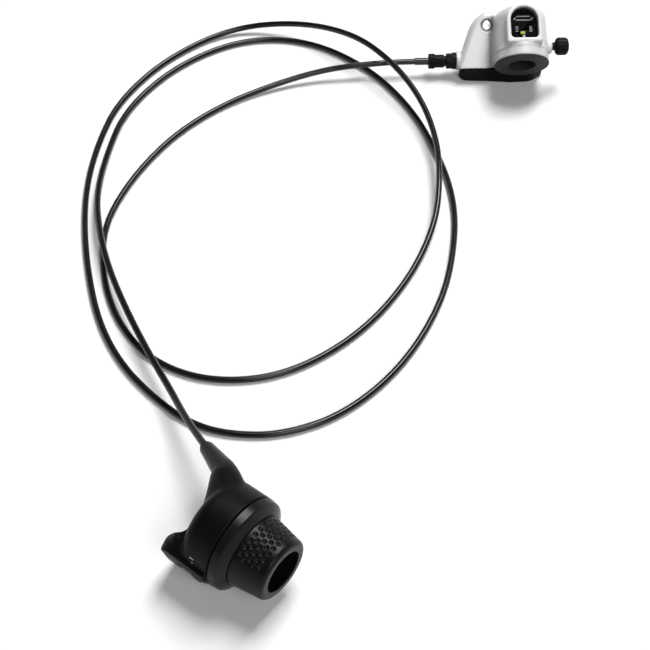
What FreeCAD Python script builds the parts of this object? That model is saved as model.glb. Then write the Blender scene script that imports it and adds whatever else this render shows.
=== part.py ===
import FreeCAD, Part
import math
import os

V = FreeCAD.Vector

# Twist shifter: sizes in millimetres, X runs along the handlebar and out of the grip's end
BAR_R = 11.1
CLAMP_CLEAR = 0.05
CLAMP_LENGTH = 10.0
CAVITY_LENGTH = 9.5
CAVITY_R = 19.8
FLANGE_R = 25.9
BARREL_END_R = 20.5
BARREL_EDGE = 3.0

# Fits between pieces
FIT = 0.05
RUN_GAP = 0.5

# Twist grip
COLLAR_R = 26.0
COLLAR_WIDTH = 5.3
COLLAR_SLOPE = 2.6
COLLAR_WEB = 5.0
COLLAR_RIM = 3.5
CORE_CLEAR = 0.3
CORE_GAP = 5.6
CORE_RIB = 0.9
CORE_RIB_LENGTH = 3.0
GRIP_LENGTH = 19.4
GRIP_ROOT_R = 20.0
GRIP_END_R = 17.3
GRIP_NOSE = 2.6
DIMPLE_R = 1.45
DIMPLE_DEPTH = 0.75
DIMPLE_PITCH = 4.1
DIMPLE_ROWS = 5
DIMPLE_PATCH_DEG = 112.0
DIMPLE_PATCH_START_DEG = 33.0

# Cable drum and its wire
DRUM_CLEAR = 0.8
DRUM_WIDTH = 6.6
GROOVE_DEPTH = 2.8
GROOVE_WIDTH = 1.3
WIRE_R = 0.6
NIPPLE_R = 1.85
NIPPLE_LENGTH = 3.4
WRAP_DEG = 90.0
DETENT_STEP_DEG = 20.0
DETENT_DEG = 300.0
DETENT_LEAF = 0.4
NOTCH_R = 0.9
RING_WIDTH = 1.2
RING_DEPTH = 0.9

# Indicator pod, on the side that faces the rider
POD_DEG = 208.0
POD_R = 28.0
POD_HALF_WIDTH = 15.0
POD_REACH = 11.4
POD_FLOOR = 17.0
POD_RAMP = 3.0
POD_BLEND = 8.8
POD_CORNER = 8.0
CHAMBER_HALF_DEG = 27.0
CHAMBER_R = 21.2
CHAMBER_LENGTH = 17.0
POD_WALL = 1.9
WINDOW_LENGTH = 10.2
WINDOW_START_DEG = 187.0
WINDOW_END_DEG = 226.0
DIAL_WALL = 0.6
POINTER_DEG = 206.0
POINTER_HALF_DEG = 3.0

# Horn that leads the cable out, given by its middle line
HORN_ROOT = V(4.4, 8.0, 12.0)
HORN_WAIST = V(-8.2, 16.4, 12.6)
HORN_MOUTH = V(-15.6, 22.1, 10.1)
HORN_ROOT_R = 8.4
HORN_WAIST_R = 8.3
HORN_MOUTH_R = 6.2
CABLE_EXIT = V(-0.88, 0.362, -0.308)
NOZZLE_LENGTH = 22.0
NOZZLE_TIP_R = 3.9
SPIGOT_R = 3.6
SPIGOT_LENGTH = 3.0
FERRULE_R = 2.75
FERRULE_LENGTH = 9.0
FERRULE_RIM = 1.2
CHANNEL_R = 1.3

# Clamp at the underside
LUG_HALF_WIDTH = 8.0
LUG_LENGTH = 11.0
SLIT_WIDTH = 1.6
BOLT_R = 2.45
BOLT_HEAD_R = 4.25
BOLT_HEAD_LENGTH = 5.0
BOLT_Z = -17.6
NUT_SIDE = 8.0
NUT_THICKNESS = 3.6

# Cable casing
CASING_R = 2.0
CASING_FIT = 0.05
SEAT_DEPTH = 7.0
CASING_LEAD = 23.0

# Bell crank: its own frame stands on the table, X to the fixing knob, Y to the back
BELL_PLACE = V(-80.6, 404.1, 0.0)
BELL_TURN_DEG = 40.0
BELL_TILT_DEG = 30.0
BOSS_HEIGHT = 25.0
BOSS_R = 18.0
BOSS_LENGTH = 38.5
BOSS_DOME = 9.0
FRONT_RING_R = 18.6
FRONT_RING_LENGTH = 6.5
LIP_R = 19.1
LIP_WIDTH = 1.6
COVER_WALL = 2.0
BASE_HEIGHT = 12.0
BASE_WALL = 2.2
BASE_FLOOR = 3.4
BASE_EDGE = 2.5
BASE_CORNER = 6.0
BASE_LEDGE = 1.0
BASE_LEFT = (-43.0, 13.0)
BASE_FRONT = [(-20.0, 11.5), (-4.0, 9.8), (10.0, 10.4)]
BASE_RIGHT = 19.0
BASE_RIGHT_FRONT = 17.0
AXLE_R = 9.5
SOCKET_R = 10.9
SOCKET_LENGTH = 20.0
SOCKET_FLANGE = 3.0
SOCKET_FACE = 1.2

# Bell crank window
BEZEL_HALF_WIDTH = 12.2
BEZEL_FRONT = 8.6
BEZEL_TOP = 19.2
BEZEL_RIM = 3.0
BEZEL_CORNER = 1.4
GLASS_CORNER = 2.6
BEZEL_LENGTH = 28.2
PLATE_LEVEL = 13.6
PLATE_THICKNESS = 1.0
LENS_THICKNESS = 2.4
LENS_INSET = 1.0
LEDGE = 0.9

# Bell crank lever, in the frame tilted with the axle
PIVOT_X = -10.0
PIVOT_Y = 30.0
PIN_R = 2.0
HUB_R = 4.2
WIRE_Y = 21.5
WIRE_HEIGHT = 11.6
ARM_THICKNESS = 3.0
ARM_HALF_WIDTH = 3.4
HUB_TOP = 6.5
FLAG_LEVEL = 11.3
FLAG_THICKNESS = 1.3
RISER_REACH = 7.0
INDEX_X = -0.6
INDEX_Y = 16.9
INDEX_R = 1.6
PUSH_HALF_HEIGHT = 3.0
ANCHOR_R = 2.0
ANCHOR_HEAD_R = 4.0
ANCHOR_HEAD_LENGTH = 2.6
WASHER_R = 4.6
WASHER_THICKNESS = 1.0
SPRING_WIRE_R = 0.5
SPRING_TURNS = 4
SPRING_PITCH = 1.5
SPRING_CORNERS = 8

# Adjuster train, along the wire where it enters the bell crank
SEAT_X = -42.4
SEAT_LENGTH = 9.0
SEAT_R = 6.5
STEM_R = 2.95
LOCK_NUT_FLATS = 10.0
LOCK_NUT_LENGTH = 6.7
LOCK_NUT_FLANGE = 2.4
BARREL_R = 4.5
BARREL_LENGTH = 8.0
KNURL_R = 5.2
KNURL_LENGTH = 4.4
KNURL_GROOVES = 16
KNURL_DEPTH = 0.5
SLEEVE_R = 2.5
SLEEVE_LENGTH = 13.8
SLEEVE_SEAT = 4.0

# Fixing screw
SCREW_Y = 12.4
SCREW_R = 2.0
SCREW_SEAT_R = 5.2
SCREW_SEAT_X = 21.0
SCREW_TIP_X = 11.0
NECK_R = 2.7
NECK_LENGTH = 2.7
KNOB_R = 6.0
KNOB_LENGTH = 8.5
KNOB_FLUTES = 8
KNOB_FLUTE_R = 1.3

# Cover screw and base screws
COVER_SCREW = V(-21.3, 32.2, 33.8)
CUP_R = 5.6
CUP_DEPTH = 4.2
COUNTERBORE_R = 4.4
COUNTERBORE_DEPTH = 2.6
SCREW_HEAD_R = 3.4
SCREW_HEAD_HEIGHT = 1.8
SHANK_R = 1.5
SHANK_LENGTH = 6.0
POST_R = 4.6
BASE_SCREW_X = 13.8
BASE_SCREW_YS = (18.0, 36.0)
STUD_R = 2.6
STUD_HEIGHT = 9.0

# Values that follow from the sizes above
TABLE_Z = -COLLAR_R
CLAMP_R = BAR_R + CLAMP_CLEAR
HOUSING_IN = -CLAMP_LENGTH / 2
CAVITY_X = CLAMP_LENGTH / 2
FLANGE_X = CAVITY_X + CAVITY_LENGTH
COLLAR_X = FLANGE_X + RUN_GAP
GRIP_X = COLLAR_X + COLLAR_WIDTH + COLLAR_SLOPE
GRIP_END_X = GRIP_X + GRIP_LENGTH
CORE_BORE = BAR_R + CORE_CLEAR
CORE_R = CAVITY_R - CORE_GAP
DRUM_R = CAVITY_R - DRUM_CLEAR
GROOVE_R = DRUM_R - GROOVE_DEPTH
DRUM_X = CAVITY_X + RUN_GAP
GROOVE_X = DRUM_X + DRUM_WIDTH / 2
WIRE_PITCH_R = GROOVE_R + WIRE_R + FIT
CHAMBER_TOP_R = POD_R - POD_WALL
CHAMBER_X1 = DRUM_X + 2.2
CHAMBER_X0 = CHAMBER_X1 - CHAMBER_LENGTH
WINDOW_X0 = CHAMBER_X0 + 0.3 * CHAMBER_LENGTH
EXIT = CABLE_EXIT * (1.0 / CABLE_EXIT.Length)
NOZZLE_TIP = HORN_MOUTH + EXIT * NOZZLE_LENGTH
TILT = math.radians(BELL_TILT_DEG)
WIRE_DROP = WIRE_HEIGHT - BOSS_HEIGHT
WIRE_TILT_Y = WIRE_Y * math.cos(TILT) + WIRE_DROP * math.sin(TILT)
WIRE_TILT_Z = -WIRE_Y * math.sin(TILT) + WIRE_DROP * math.cos(TILT)
ARM_BOTTOM = WIRE_TILT_Z + WIRE_R
ARM_TOP = ARM_BOTTOM + ARM_THICKNESS
ANCHOR_Y = WIRE_TILT_Y + ANCHOR_R + WIRE_R + FIT
NUT_X = SEAT_X - LOCK_NUT_LENGTH - FIT
BARREL_X = NUT_X - FIT - BARREL_LENGTH
KNURL_X = BARREL_X - KNURL_LENGTH
SLEEVE_X = KNURL_X + SLEEVE_SEAT - SLEEVE_LENGTH

# Route of the casing from the nozzle to the adjuster, chosen by hand; the ends are added below
CASING_ROUTE = [
    (-85, 54, -12), (-115, 67, -14), (-148, 83, -15), (-179, 100, -15),
    (-206, 119, -15), (-233, 143, -19), (-257, 175, -23), (-281, 218, -24), (-286, 275, -24),
    (-269, 328, -24), (-231, 356, -24), (-179, 359, -24), (-129, 343, -24), (-88, 317, -24),
    (-56, 290, -24), (-32, 258, -24), (-9, 212, -24), (2, 157, -24), (-3, 109, -24),
    (-21, 76, -24), (-45, 57, -24), (-68, 49, -24), (-98, 50, -24), (-128, 56, -24),
    (-159, 70, -24), (-191, 93, -24), (-222, 120, -24), (-249, 149, -24), (-272, 183, -24),
    (-291, 222, -24), (-297, 277, -24), (-283, 332, -23), (-243, 359, -15), (-195, 362, -4),
    (-156, 355, -4), (-120, 341, -9), (-89, 317, -13), (-66, 288, -14), (-49, 260, -20),
    (-37, 221, -24), (-32, 178, -24), (-36, 141, -24), (-48, 109, -24), (-67, 87, -24),
    (-91, 73, -24), (-119, 69, -24), (-146, 76, -24), (-169, 88, -24), (-191, 105, -24),
    (-211, 127, -24), (-223, 151, -24), (-233, 186, -24), (-237, 226, -24), (-231, 267, -24),
    (-216, 302, -22), (-197, 330, -18), (-177, 349, -15),
]


def rod(start, direction, length, radius):
    return Part.makeCylinder(radius, length, start, direction)


def tube(start, direction, length, radius, bore):
    return rod(start, direction, length, radius).cut(rod(start, direction, length, bore))


def turned(profile, closed_turn=360.0):
    """Solid of revolution about X from (x, radius) points."""
    points = [V(x, 0, r) for x, r in profile]
    face = Part.Face(Part.makePolygon(points + points[:1]))
    return face.revolve(V(0, 0, 0), V(1, 0, 0), closed_turn)


def sector(x0, x1, r0, r1, start_deg, end_deg):
    """Part of a ring about X, with angles counted from +Y towards +Z."""
    corners = [V(x0, r0, 0), V(x1, r0, 0), V(x1, r1, 0), V(x0, r1, 0)]
    face = Part.Face(Part.makePolygon(corners + corners[:1]))
    face.rotate(V(0, 0, 0), V(1, 0, 0), start_deg)
    return face.revolve(V(0, 0, 0), V(1, 0, 0), end_deg - start_deg)


def around(radius, angle_deg, x=0.0):
    angle = math.radians(angle_deg)
    return V(x, radius * math.cos(angle), radius * math.sin(angle))


def joined(first, *others):
    return first.fuse(list(others)).removeSplitter()


def rounded_loop(points, radii):
    """Closed outline with an arc of its own radius at each corner, or a sharp corner for radius 0."""
    corners = []
    for i, here in enumerate(points):
        back = (points[i - 1] - here).normalize()
        ahead = (points[(i + 1) % len(points)] - here).normalize()
        half = (math.pi - back.getAngle(ahead)) / 2
        reach = radii[i] * math.tan(half)
        inward = (back + ahead).normalize()
        middle = here + inward * (radii[i] / math.cos(half) - radii[i])
        corners.append((here + back * reach, middle, here + ahead * reach))
    edges = []
    for i, corner in enumerate(corners):
        if radii[i] > 0:
            edges.append(Part.Arc(*corner).toShape())
        edges.append(Part.LineSegment(corner[2], corners[(i + 1) % len(corners)][0]).toShape())
    return Part.Face(Part.Wire(edges))


def side_prism(outline, x0, x1, radii=None):
    """Prism along X from (y, z) corners."""
    points = [V(x0, y, z) for y, z in outline]
    return rounded_loop(points, radii or [0] * len(points)).extrude(V(x1 - x0, 0, 0))


def plan_prism(outline, z0, z1, radii=None):
    """Prism along Z from (x, y) corners."""
    points = [V(x, y, z0) for x, y in outline]
    return rounded_loop(points, radii or [0] * len(points)).extrude(V(0, 0, z1 - z0))


def hexagon(start, direction, length, flats):
    """Hexagonal prism with its flats at the given width."""
    corner = flats / math.sqrt(3)
    points = [V(corner * math.cos(math.radians(60 * i)), corner * math.sin(math.radians(60 * i)), 0)
              for i in range(6)]
    prism = Part.Face(Part.makePolygon(points + points[:1])).extrude(V(0, 0, length))
    prism.Placement = FreeCAD.Placement(start, FreeCAD.Rotation(V(0, 0, 1), direction))
    return prism


def disc(centre, normal, radius):
    return Part.Wire(Part.Circle(centre, normal, radius).toShape())


def soft_path(points, share=0.45):
    """Straight runs joined by tangent arcs, each as large as its two runs allow."""
    edges = []
    radii = []
    last = points[0]
    for before, here, after in zip(points, points[1:], points[2:]):
        back = (before - here).normalize()
        ahead = (after - here).normalize()
        turn = math.pi - back.getAngle(ahead)
        reach = share * min((before - here).Length, (after - here).Length)
        radius = reach / math.tan(turn / 2)
        inward = (back + ahead).normalize()
        arc_start = here + back * reach
        arc_middle = here + inward * (radius / math.cos(turn / 2) - radius)
        arc_end = here + ahead * reach
        edges.append(Part.LineSegment(last, arc_start).toShape())
        edges.append(Part.Arc(arc_start, arc_middle, arc_end).toShape())
        radii.append(radius)
        last = arc_end
    edges.append(Part.LineSegment(last, points[-1]).toShape())
    return Part.Wire(edges), radii


def cable(points, radius):
    path, radii = soft_path(points)
    section = disc(points[0], points[1] - points[0], radius)
    return path.makePipeShell([section], True, False), path.Length, radii


def save(name, shape):
    solids = shape.Solids
    if len(solids) == 1:
        shape = solids[0]
    print(f"{name}: {len(solids)} solid, {shape.Volume:.1f} mm3, valid {shape.isValid()}")
    shape.exportStep(f"parts/{name}.step")


# Shifter housing

def barrel():
    """Round body of the housing with a soft shoulder at its inboard end."""
    a = V(HOUSING_IN, 0, 0)
    b = V(HOUSING_IN, 0, BARREL_END_R - BARREL_EDGE / 2)
    c = V(HOUSING_IN + 2.2 * BARREL_EDGE, 0, FLANGE_R - 0.3)
    d = V(FLANGE_X - RUN_GAP, 0, FLANGE_R)
    e = V(FLANGE_X, 0, FLANGE_R - RUN_GAP)
    f = V(FLANGE_X, 0, 0)
    shoulder = V(HOUSING_IN + 0.55 * BARREL_EDGE, 0, (b.z + c.z) / 2 + 0.42 * BARREL_EDGE)
    edges = [
        Part.LineSegment(a, b).toShape(), Part.Arc(b, shoulder, c).toShape(),
        Part.LineSegment(c, d).toShape(), Part.LineSegment(d, e).toShape(),
        Part.LineSegment(e, f).toShape(), Part.LineSegment(f, a).toShape(),
    ]
    return Part.Face(Part.Wire(edges)).revolve(V(0, 0, 0), V(1, 0, 0), 360)


def pod():
    """Indicator pod: side profile, outline seen from outside and outer radius, cut to what they share."""
    tip_x = HOUSING_IN - POD_REACH
    end_x = FLANGE_X - RUN_GAP
    half = POD_HALF_WIDTH
    outer = POD_R + 1.0
    crown_x = WINDOW_X0 + WINDOW_LENGTH + 1.0
    profile = [V(end_x, 0, -half), V(end_x, FLANGE_R - RUN_GAP, -half), V(crown_x, outer, -half),
               V(HOUSING_IN - POD_REACH * 0.3, outer, -half), V(tip_x, outer - 6.0, -half),
               V(tip_x, POD_FLOOR, -half),
               V(HOUSING_IN - POD_RAMP, CLAMP_R, -half), V(HOUSING_IN, 0, -half)]
    side = rounded_loop(profile, [0, 0, 0, 8.0, 3.2, 1.6, POD_BLEND, 0]).extrude(V(0, 0, 2 * half))
    outline = [V(end_x, 0, -half), V(end_x, 0, half), V(tip_x, 0, half), V(tip_x, 0, -half)]
    front = rounded_loop(outline, [0, 0, POD_CORNER, POD_CORNER]).extrude(V(0, outer + 1, 0))
    block = side.common(front)
    block.rotate(V(0, 0, 0), V(1, 0, 0), POD_DEG)
    return block.common(rod(V(tip_x - 1, 0, 0), V(1, 0, 0), end_x - tip_x + 2, POD_R))


def horn():
    middle = (HORN_MOUTH - HORN_ROOT).normalize()
    lead = V(-0.75, 0.62, 0.1)
    return Part.makeLoft([
        disc(HORN_ROOT, lead, HORN_ROOT_R), disc(HORN_WAIST, middle, HORN_WAIST_R),
        disc(HORN_MOUTH, EXIT, HORN_MOUTH_R),
    ], True, False)


def wire_points():
    """Way of the wire inside the shifter, from the drum's top to the nozzle."""
    top = V(GROOVE_X, 0, WIRE_PITCH_R)
    turn = V(GROOVE_X, 13.0, WIRE_PITCH_R - 0.3)
    return [top, turn, HORN_MOUTH, NOZZLE_TIP - EXIT * (FERRULE_LENGTH - FERRULE_RIM)]


def shifter_housing():
    lug = Part.makeBox(LUG_LENGTH, 2 * LUG_HALF_WIDTH, -TABLE_Z - CLAMP_R,
                       V(HOUSING_IN, -LUG_HALF_WIDTH, TABLE_Z))
    low_edges = [edge for edge in lug.Edges if edge.CenterOfMass.z < TABLE_Z + 0.01]
    lug = lug.makeChamfer(1.2, low_edges)
    body = joined(barrel(), pod(), horn(), lug)
    channel_start = wire_points()
    channel_start[0] = channel_start[0] - V(0, 4, 0)
    channel, _, _ = cable(channel_start, CHANNEL_R)
    spread = DETENT_STEP_DEG + POINTER_HALF_DEG + 2.0
    low_deg = POD_DEG - CHAMBER_HALF_DEG
    high_deg = POD_DEG + CHAMBER_HALF_DEG
    bolt_x = HOUSING_IN + LUG_LENGTH / 2
    nut_half = NUT_SIDE / 2 + 0.2
    ring_x = FLANGE_X - RUN_GAP - RING_WIDTH
    cuts = [
        rod(V(HOUSING_IN - 1, 0, 0), V(1, 0, 0), CLAMP_LENGTH + 2, CLAMP_R),
        rod(V(HOUSING_IN - POD_REACH, 0, 0), V(1, 0, 0), POD_REACH, CLAMP_R + POD_WALL / 2),
        rod(V(CAVITY_X, 0, 0), V(1, 0, 0), CAVITY_LENGTH + 1, CAVITY_R),
        rod(V(ring_x - FIT, 0, 0), V(1, 0, 0), RING_WIDTH + 2 * FIT, CAVITY_R + RING_DEPTH),
        sector(CHAMBER_X0, CHAMBER_X1, CHAMBER_R, CHAMBER_TOP_R, low_deg, high_deg),
        sector(DRUM_X - 0.3, CHAMBER_X1, CAVITY_R - 0.3, CHAMBER_R + 0.3,
               POINTER_DEG - spread, POINTER_DEG + spread),
        sector(WINDOW_X0, WINDOW_X0 + WINDOW_LENGTH, CHAMBER_TOP_R - 0.2, POD_R + 1,
               WINDOW_START_DEG, WINDOW_END_DEG),
        Part.makeBox(LUG_LENGTH + 4, SLIT_WIDTH, -TABLE_Z,
                     V(HOUSING_IN - 1, -SLIT_WIDTH / 2, TABLE_Z - 1)),
        rod(V(bolt_x, -LUG_HALF_WIDTH - NUT_THICKNESS, BOLT_Z), V(0, 1, 0), 24, BOLT_R + FIT),
        rod(V(bolt_x, LUG_HALF_WIDTH, BOLT_Z), V(0, 1, 0), 16, BOLT_HEAD_R + 0.3),
        Part.makeBox(bolt_x + nut_half - HOUSING_IN + 1, NUT_THICKNESS + 0.4, 2 * nut_half,
                     V(HOUSING_IN - 1, -LUG_HALF_WIDTH - NUT_THICKNESS - 0.2, BOLT_Z - nut_half)),
        channel,
        rod(HORN_MOUTH - EXIT * (SPIGOT_LENGTH + FIT), EXIT, SPIGOT_LENGTH + 5, SPIGOT_R + FIT),
    ]
    return body.cut(cuts)


def outlet_nozzle():
    sleeve = Part.makeCone(HORN_MOUTH_R, NOZZLE_TIP_R, NOZZLE_LENGTH, HORN_MOUTH, EXIT)
    tip_edge = [edge for edge in sleeve.Edges if abs((edge.CenterOfMass - NOZZLE_TIP).Length) < 0.1]
    sleeve = sleeve.makeFillet(0.7, tip_edge)
    spigot = rod(HORN_MOUTH - EXIT * SPIGOT_LENGTH, EXIT, SPIGOT_LENGTH + 1, SPIGOT_R)
    seat = NOZZLE_TIP - EXIT * (FERRULE_LENGTH - FERRULE_RIM)
    return joined(sleeve, spigot).cut([
        rod(HORN_MOUTH - EXIT * (SPIGOT_LENGTH + 1), EXIT, NOZZLE_LENGTH, CHANNEL_R),
        rod(seat, EXIT, FERRULE_LENGTH + 2, FERRULE_R + FIT),
    ])


def casing_ferrule():
    seat = NOZZLE_TIP - EXIT * (FERRULE_LENGTH - FERRULE_RIM)
    body = joined(rod(seat, EXIT, FERRULE_LENGTH, FERRULE_R),
                  rod(NOZZLE_TIP + EXIT * FIT, EXIT, FERRULE_RIM - FIT, FERRULE_R + 0.45))
    socket = seat + EXIT * (FERRULE_LENGTH - SEAT_DEPTH)
    return body.cut([rod(socket, EXIT, SEAT_DEPTH + 1, CASING_R + CASING_FIT),
                     rod(seat - EXIT, EXIT, FERRULE_LENGTH, WIRE_R + 0.3)])


def clamp_bolt():
    x = HOUSING_IN + LUG_LENGTH / 2
    shank = rod(V(x, -LUG_HALF_WIDTH - NUT_THICKNESS, BOLT_Z), V(0, 1, 0),
                2 * LUG_HALF_WIDTH + NUT_THICKNESS, BOLT_R)
    head = rod(V(x, LUG_HALF_WIDTH, BOLT_Z), V(0, 1, 0), BOLT_HEAD_LENGTH, BOLT_HEAD_R)
    rim = [edge for edge in head.Edges if edge.CenterOfMass.y > LUG_HALF_WIDTH + BOLT_HEAD_LENGTH - 0.1]
    head = head.makeFillet(0.5, rim)
    key = hexagon(V(x, LUG_HALF_WIDTH + BOLT_HEAD_LENGTH / 2, BOLT_Z), V(0, 1, 0), BOLT_HEAD_LENGTH, 4.0)
    return joined(shank, head).cut(key)


def clamp_nut():
    x = HOUSING_IN + LUG_LENGTH / 2
    half = NUT_SIDE / 2
    block = Part.makeBox(NUT_SIDE, NUT_THICKNESS, NUT_SIDE,
                         V(x - half, -LUG_HALF_WIDTH - NUT_THICKNESS, BOLT_Z - half))
    return block.cut(rod(V(x, -LUG_HALF_WIDTH - NUT_THICKNESS - 1, BOLT_Z), V(0, 1, 0), 10, BOLT_R + FIT))


def indicator_window():
    rim = 0.2
    return sector(WINDOW_X0 + rim, WINDOW_X0 + WINDOW_LENGTH - rim, CHAMBER_TOP_R + 0.1, POD_R,
                  WINDOW_START_DEG + 0.4, WINDOW_END_DEG - 0.4)


def indicator_dial():
    edge_deg = CHAMBER_HALF_DEG - 0.5
    outer = CHAMBER_TOP_R - 1.1
    return sector(CHAMBER_X0 + 0.2, CHAMBER_X0 + 0.65 * CHAMBER_LENGTH, outer - DIAL_WALL, outer,
                  POD_DEG - edge_deg, POD_DEG + edge_deg)


def indicator_pointer():
    blade = sector(DRUM_X + 0.15, DRUM_X + 1.7, DRUM_R - 1.8, CHAMBER_TOP_R - 0.3,
                   POINTER_DEG - POINTER_HALF_DEG, POINTER_DEG + POINTER_HALF_DEG)
    finger_x = CHAMBER_X0 + 0.35 * CHAMBER_LENGTH
    finger = sector(finger_x, DRUM_X + 1.0, CHAMBER_TOP_R - 0.85, CHAMBER_TOP_R - 0.3,
                    POINTER_DEG - POINTER_HALF_DEG / 2, POINTER_DEG + POINTER_HALF_DEG / 2)
    return joined(blade, finger)


# Twist grip

def cable_drum():
    half = GROOVE_WIDTH / 2
    x1 = DRUM_X + DRUM_WIDTH
    body = turned([
        (DRUM_X, CORE_R + FIT), (DRUM_X, DRUM_R), (GROOVE_X - 2 * half, DRUM_R), (GROOVE_X - half, GROOVE_R),
        (GROOVE_X + half, GROOVE_R), (GROOVE_X + 2 * half, DRUM_R), (x1, DRUM_R), (x1, CORE_R + FIT),
    ])
    nipple_deg = 90.0 + WRAP_DEG
    pocket = rod(around(WIRE_PITCH_R, nipple_deg, GROOVE_X - NIPPLE_LENGTH / 2 - 0.1), V(1, 0, 0),
                 DRUM_WIDTH, NIPPLE_R + 0.1)
    notch_x = GROOVE_X + 2 * half + 0.3
    notches = [rod(around(DRUM_R, DETENT_DEG + step * DETENT_STEP_DEG, notch_x), V(1, 0, 0),
                   DRUM_WIDTH, NOTCH_R) for step in (-1, 0, 1)]
    key = sector(DRUM_X - 1, DRUM_X + 1.8, DRUM_R - 1.9, DRUM_R + 1,
                 POINTER_DEG - POINTER_HALF_DEG - 0.3, POINTER_DEG + POINTER_HALF_DEG + 0.3)
    return body.cut([pocket, key] + notches)


def wire_nipple():
    start = around(WIRE_PITCH_R, 90.0 + WRAP_DEG, GROOVE_X - NIPPLE_LENGTH / 2)
    hole = rod(around(WIRE_PITCH_R, 90.0 + WRAP_DEG - 12, GROOVE_X),
               around(1, 180.0 + WRAP_DEG - 6), 6, WIRE_R + 0.1)
    return rod(start, V(1, 0, 0), NIPPLE_LENGTH, NIPPLE_R).cut(hole)


def shift_wire():
    """Wire from the nipple round the drum and out to the ferrule."""
    end_deg = 90.0 + WRAP_DEG - 9.0
    wrap = Part.Arc(around(WIRE_PITCH_R, end_deg, GROOVE_X),
                    around(WIRE_PITCH_R, (90 + end_deg) / 2, GROOVE_X),
                    around(WIRE_PITCH_R, 90.0, GROOVE_X)).toShape()
    run, _ = soft_path(wire_points())
    path = Part.Wire([wrap] + run.OrderedEdges)
    section = disc(around(WIRE_PITCH_R, end_deg, GROOVE_X), around(1, end_deg - 90.0), WIRE_R)
    return path.makePipeShell([section], True, False)


def detent_spring():
    x0 = GROOVE_X + GROOVE_WIDTH + 0.5
    x1 = DRUM_X + DRUM_WIDTH - 0.2
    outer = CAVITY_R - 0.1
    leaf = sector(x0, x1, outer - DETENT_LEAF, outer, DETENT_DEG - 22, DETENT_DEG + 22)
    bump = rod(around(outer - DETENT_LEAF, DETENT_DEG, x0), V(1, 0, 0), x1 - x0, NOTCH_R - 0.15)
    inner = rod(V(x0 - 1, 0, 0), V(1, 0, 0), x1 - x0 + 2, outer - DETENT_LEAF / 2)
    return joined(leaf, bump.common(inner))


def retaining_ring():
    x0 = FLANGE_X - RUN_GAP - RING_WIDTH
    ring = tube(V(x0, 0, 0), V(1, 0, 0), RING_WIDTH, CAVITY_R + RING_DEPTH - FIT, CORE_R + 0.5)
    gap = sector(x0 - 1, x0 + RING_WIDTH + 1, CORE_R, CAVITY_R + 2, 86, 94)
    return ring.cut(gap)


def grip_core():
    x0 = DRUM_X
    x1 = GRIP_END_X - GRIP_NOSE
    rib_x = x1 - CORE_RIB_LENGTH
    return turned([(x0, CORE_BORE), (x0, CORE_R), (rib_x, CORE_R), (rib_x, CORE_R + CORE_RIB),
                   (x1, CORE_R + CORE_RIB), (x1, CORE_BORE)])


def grip_collar():
    x0 = COLLAR_X
    x1 = COLLAR_X + COLLAR_WIDTH
    hollow = COLLAR_R - COLLAR_RIM
    web_x = GRIP_X - COLLAR_WEB
    bore = CORE_R + FIT
    return turned([
        (x0, hollow), (x0, COLLAR_R - 0.6), (x0 + 0.6, COLLAR_R), (x1 - 0.8, COLLAR_R - 0.6),
        (x1, COLLAR_R - 1.4), (GRIP_X, GRIP_ROOT_R + 0.6), (GRIP_X, bore), (web_x, bore), (web_x, hollow),
    ])


def grip_rubber():
    """Rubber sleeve with two patches of staggered round dimples."""
    x0 = GRIP_X + FIT
    nose_x = GRIP_END_X - GRIP_NOSE
    bore = CORE_R + FIT
    rib_x = nose_x - CORE_RIB_LENGTH - FIT
    a = V(x0, 0, bore)
    b = V(x0, 0, GRIP_ROOT_R)
    c = V(nose_x, 0, GRIP_END_R)
    d = V(GRIP_END_X, 0, GRIP_END_R - GRIP_NOSE)
    e = V(GRIP_END_X, 0, CORE_BORE + 0.4)
    f = V(nose_x + FIT, 0, CORE_BORE + 0.4)
    g = V(nose_x + FIT, 0, bore + CORE_RIB)
    h = V(rib_x, 0, bore + CORE_RIB)
    i = V(rib_x, 0, bore)
    nose_middle = V(GRIP_END_X - GRIP_NOSE * 0.3, 0, GRIP_END_R - GRIP_NOSE * 0.3)
    edges = [
        Part.LineSegment(a, b).toShape(), Part.LineSegment(b, c).toShape(),
        Part.Arc(c, nose_middle, d).toShape(), Part.LineSegment(d, e).toShape(),
        Part.LineSegment(e, f).toShape(), Part.LineSegment(f, g).toShape(),
        Part.LineSegment(g, h).toShape(), Part.LineSegment(h, i).toShape(), Part.LineSegment(i, a).toShape(),
    ]
    sleeve = Part.Face(Part.Wire(edges)).revolve(V(0, 0, 0), V(1, 0, 0), 360)
    sleeve.rotate(V(0, 0, 0), V(1, 0, 0), 90)
    step_x = (nose_x - x0 - 2 * DIMPLE_R) / DIMPLE_ROWS
    dimples = []
    for row in range(DIMPLE_ROWS):
        x = x0 + DIMPLE_R + step_x * (row + 0.6)
        radius = GRIP_ROOT_R + (GRIP_END_R - GRIP_ROOT_R) * (x - x0) / (nose_x - x0)
        step_deg = math.degrees(DIMPLE_PITCH / GRIP_ROOT_R)
        count = int(DIMPLE_PATCH_DEG / step_deg)
        for patch in range(2):
            start = DIMPLE_PATCH_START_DEG + 180 * patch + step_deg * 0.5 * (row % 2)
            for place in range(count):
                centre = around(radius + DIMPLE_R - DIMPLE_DEPTH, start + place * step_deg, x)
                dimples.append(Part.makeSphere(DIMPLE_R, centre))
    return sleeve.cut(dimples)


# Bell crank, in its own frame first

def tilted(shape):
    """From the frame of the axle hole, with Y along its axis, to the frame that stands on the table."""
    shape = shape.copy()
    turn = FreeCAD.Rotation(V(1, 0, 0), BELL_TILT_DEG)
    shape.Placement = FreeCAD.Placement(V(0, 0, BOSS_HEIGHT), turn).multiply(shape.Placement)
    return shape


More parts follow.
